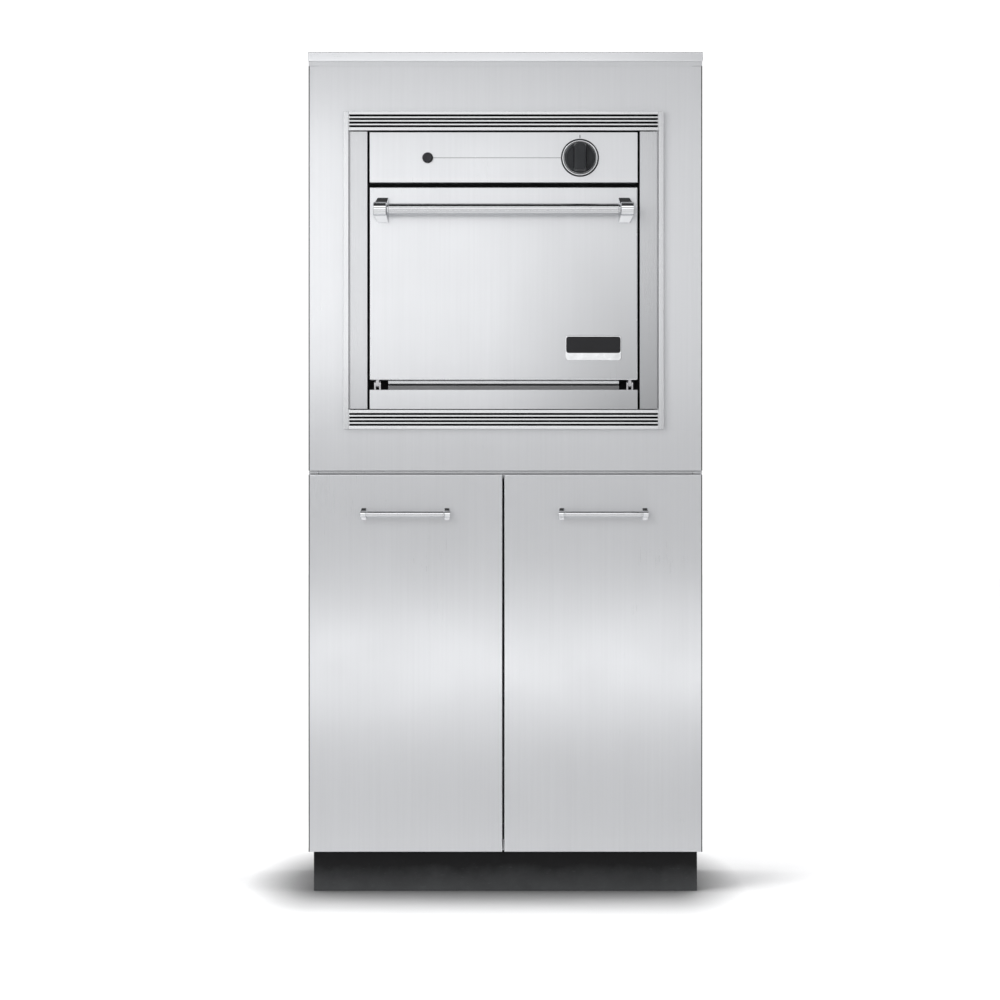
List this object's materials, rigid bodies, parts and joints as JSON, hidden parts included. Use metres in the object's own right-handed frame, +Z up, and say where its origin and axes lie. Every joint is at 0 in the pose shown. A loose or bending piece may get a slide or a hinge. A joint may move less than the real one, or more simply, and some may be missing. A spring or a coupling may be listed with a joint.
{
  "type": "outdoor oven cabinet",
  "caption": "Tall free-standing stainless outdoor cabinet with a built-in gas oven behind a drop-down door, a storage compartment behind hinged doors below, and a black plinth.",
  "frame": {"origin": "on the floor under the middle of the whole object's box", "axes": "+Z up, front faces -Y, +X to the right when seen from the front"},
  "size_m": [0.9174, 0.69, 1.952],
  "materials": {
    "brushed_stainless": "satin",
    "cap_stainless": "satin",
    "trim_stainless": "satin",
    "handle_steel": "satin",
    "chrome_trim": "polished",
    "badge_chrome": "polished",
    "hinge_steel": "satin",
    "black_plinth_paint": "satin",
    "black_enamel": "matte",
    "oven_enamel": "satin",
    "galvanised_steel": "matte",
    "insulation_wool": "matte",
    "gasket_fibre": "matte",
    "knob_black": "satin",
    "button_black": "matte",
    "foot_plastic": "matte",
    "catch_plastic": "matte",
    "gas_iron": "matte",
    "gas_aluminium": "satin",
    "valve_brass": "satin",
    "electrode_ceramic": "gloss"
  },
  "bodies": {
    "cabinet": {"side_panel_left": "brushed_stainless", "side_panel_right": "brushed_stainless", "back_panel": "brushed_stainless", "bottom_deck": "brushed_stainless", "oven_shelf": "brushed_stainless", "top_rail": "brushed_stainless", "mid_rail": "brushed_stainless", "surround_panel": "brushed_stainless", "control_panel": "brushed_stainless", "kick_strip": "brushed_stainless", "door_sill": "brushed_stainless", "top_cap": "cap_stainless", "side_trim_left": "trim_stainless", "side_trim_right": "trim_stainless", "louvre_top": "trim_stainless", "louvre_bottom": "trim_stainless", "knob_bezel": "chrome_trim", "rack_guides": "chrome_trim", "hinge_brackets": "hinge_steel", "oven_hinge_pins": "hinge_steel", "burner": "hinge_steel", "plinth": "black_plinth_paint", "front_frame": "black_enamel", "oven_liner": "oven_enamel", "oven_floor": "oven_enamel", "oven_casing": "galvanised_steel", "oven_insulation": "insulation_wool", "button_ring": "button_black", "spark_module": "button_black", "levelling_feet": "foot_plastic", "magnetic_catches": "catch_plastic", "gas_riser": "gas_iron", "supply_tube": "gas_aluminium", "regulator": "gas_aluminium", "gas_valve": "valve_brass", "electrode": "electrode_ceramic"},
    "left_door": {"door_skin_left": "brushed_stainless", "door_pan_left": "brushed_stainless", "door_bushes_left": "hinge_steel", "pull_bar_left": "handle_steel", "pull_posts_left": "chrome_trim"},
    "right_door": {"door_skin_right": "brushed_stainless", "door_pan_right": "brushed_stainless", "door_bushes_right": "hinge_steel", "pull_bar_right": "handle_steel", "pull_posts_right": "chrome_trim"},
    "oven_door": {"oven_door_skin": "brushed_stainless", "oven_door_liner": "brushed_stainless", "oven_door_insulation": "insulation_wool", "oven_door_gasket": "gasket_fibre", "badge_plate": "badge_chrome", "oven_handle_bar": "handle_steel", "oven_handle_brackets": "chrome_trim", "oven_hinge_arms": "hinge_steel"},
    "knob_slide": {"stem_collar": "hinge_steel"},
    "control_knob": {"knob": "knob_black", "valve_stem": "hinge_steel"},
    "igniter_button": {"button_cap": "button_black"},
    "lower_rack": {"rack_lower": "chrome_trim"},
    "upper_rack": {"rack_upper": "chrome_trim"}
  },
  "joints": [
    {"name": "left_door_hinge", "type": "hinge", "parent": "cabinet", "child": "left_door", "pos_m": [-0.4502, -0.2506, 0.5327], "axis": [0, 0, -1], "range_deg": [0, 110]},
    {"name": "right_door_hinge", "type": "hinge", "parent": "cabinet", "child": "right_door", "pos_m": [0.4502, -0.2506, 0.5327], "axis": [0, 0, 1], "range_deg": [0, 110]},
    {"name": "oven_door_hinge", "type": "hinge", "parent": "cabinet", "child": "oven_door", "pos_m": [-0.0043, -0.271, 1.1801], "axis": [1, 0, 0], "range_deg": [0, 90], "stiffness_Nm_per_rad": 10, "springref_deg": -22.92},
    {"name": "knob_push", "type": "slide", "parent": "cabinet", "child": "knob_slide", "axis": [0, 1, 0], "range_m": [0, 0.004], "stiffness_N_per_m": 1500, "springref_m": -0.002},
    {"name": "knob_turn", "type": "hinge", "parent": "knob_slide", "child": "control_knob", "pos_m": [0.1727, -0.287, 1.705], "axis": [0, -1, 0], "range_deg": [0, 270]},
    {"name": "igniter_push", "type": "slide", "parent": "cabinet", "child": "igniter_button", "axis": [0, 1, 0], "range_m": [0, 0.0035], "stiffness_N_per_m": 600, "springref_m": -0.002},
    {"name": "lower_rack_slide", "type": "slide", "parent": "cabinet", "child": "lower_rack", "axis": [0, -1, 0], "range_m": [0, 0.025]},
    {"name": "upper_rack_slide", "type": "slide", "parent": "cabinet", "child": "upper_rack", "axis": [0, -1, 0], "range_m": [0, 0.025]}
  ]
}
